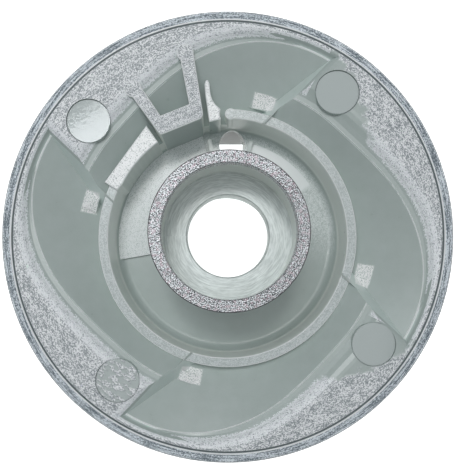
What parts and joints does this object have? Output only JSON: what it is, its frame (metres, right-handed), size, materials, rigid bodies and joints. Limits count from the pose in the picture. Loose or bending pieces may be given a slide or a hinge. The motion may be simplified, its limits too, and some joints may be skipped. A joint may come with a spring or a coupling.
{
  "type": "bobbin case",
  "caption": "Drum-shaped moulded bobbin case with spiral ratchet ramps, a round thread well, a steel-capped hub with a through bore, and a bobbin turning inside.",
  "frame": {"origin": "centre of the back cover's resting face, at the bottom of the case", "axes": "+Z along the bobbin's axis, out of the moulded face; +X towards the latch; -Y towards the tension spring"},
  "size_m": [0.064, 0.064, 0.0293],
  "materials": {
    "case_plastic": "natural translucent polyamide, spark-eroded texture on the pads, smooth ramps",
    "collar_steel": "bead-blasted steel",
    "bush_steel": "turned, fine concentric tool marks",
    "spring_steel": "rolled spring strip and wire, satin",
    "screw_steel": "nickel-plated, satin",
    "eyelet_brass": "polished",
    "washer_plastic": "smooth white low-friction plastic",
    "latch_plastic": "dark grey moulded plastic",
    "bridge_steel": "pressed strip, satin",
    "bobbin_aluminium": "satin, turned core and pressed flanges"
  },
  "bodies": {
    "case": {"front_shell": "case_plastic", "back_cover": "case_plastic", "cover_screws": "screw_steel", "hub_collar": "collar_steel", "hub_bush": "bush_steel", "bush_circlip": "spring_steel", "drag_spring": "spring_steel", "thrust_washer": "washer_plastic", "latch_spring": "spring_steel", "latch_bridge": "bridge_steel", "bridge_screws": "screw_steel", "leaf_screw": "screw_steel", "thread_eyelet": "eyelet_brass"},
    "bobbin": {"bobbin_core": "bobbin_aluminium", "bobbin_upper_flange": "bobbin_aluminium", "bobbin_lower_flange": "bobbin_aluminium"},
    "latch": {"latch_slide": "latch_plastic"},
    "tension_leaf": {"tension_spring": "spring_steel"},
    "tension_adjuster": {"tension_screw": "screw_steel"}
  },
  "joints": [
    {"name": "bobbin_turn", "type": "hinge", "parent": "case", "child": "bobbin", "pos_m": [0, 0, 0.007], "axis": [0, 0, 1], "continuous": true},
    {"name": "latch_travel", "type": "slide", "parent": "case", "child": "latch", "axis": [1, 0, 0], "range_m": [0, 0.001], "stiffness_N_per_m": 300, "springref_m": -0.0006, "deforming": ["latch_spring"]},
    {"name": "leaf_lift", "type": "hinge", "parent": "case", "child": "tension_leaf", "pos_m": [0.01003, -0.02912, 0.008], "axis": [0, 0, 1], "range_deg": [0, 1.2], "stiffness_Nm_per_rad": 0.05, "springref_deg": -1.15},
    {"name": "tension_turn", "type": "hinge", "parent": "case", "child": "tension_adjuster", "pos_m": [0.00535, -0.03033, 0.008], "axis": [0.1736, -0.9848, 0], "range_deg": [-180, 180]}
  ]
}
